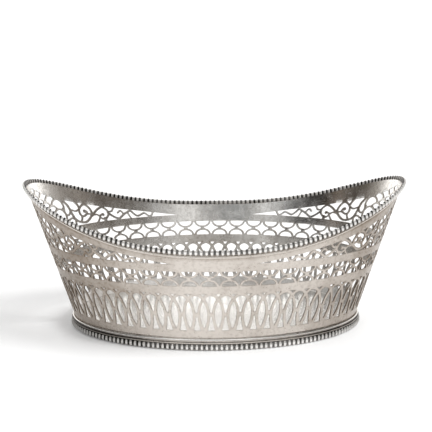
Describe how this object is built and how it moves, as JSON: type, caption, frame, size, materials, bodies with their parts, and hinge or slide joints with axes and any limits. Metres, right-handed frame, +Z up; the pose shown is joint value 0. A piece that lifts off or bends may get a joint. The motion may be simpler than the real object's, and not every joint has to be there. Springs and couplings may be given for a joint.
{
  "type": "pierced oval bread basket",
  "caption": "Oval silver bread basket with flaring pierced sides, a wavy beaded rim that rises at both narrow ends, a plain oval bottom and a low beaded foot.",
  "frame": {"origin": "middle of the oval foot, on the surface that the basket stands on", "axes": "+Z up, +X along the length of the oval towards one narrow end, +Y across it towards the back half of the wall"},
  "size_m": [0.2998, 0.191, 0.1143],
  "materials": {
    "wall_silver": "old polished silver sheet, softly worn, with tarnish in the corners",
    "wire_silver": "bright silver wire, rubbed on the tops and dark in the grooves",
    "floor_silver": "polished silver with fine scratches",
    "foot_silver": "worn silver moulding, dark in the coves"
  },
  "bodies": {
    "root": {"wall_back": "wall_silver", "wall_front": "wall_silver", "rim_bead_wire": "wire_silver", "rim_fillet_wire": "wire_silver", "floor_plate": "floor_silver", "foot_moulding": "foot_silver", "foot_bead_wire": "wire_silver", "foot_flange": "foot_silver"}
  },
  "joints": []
}
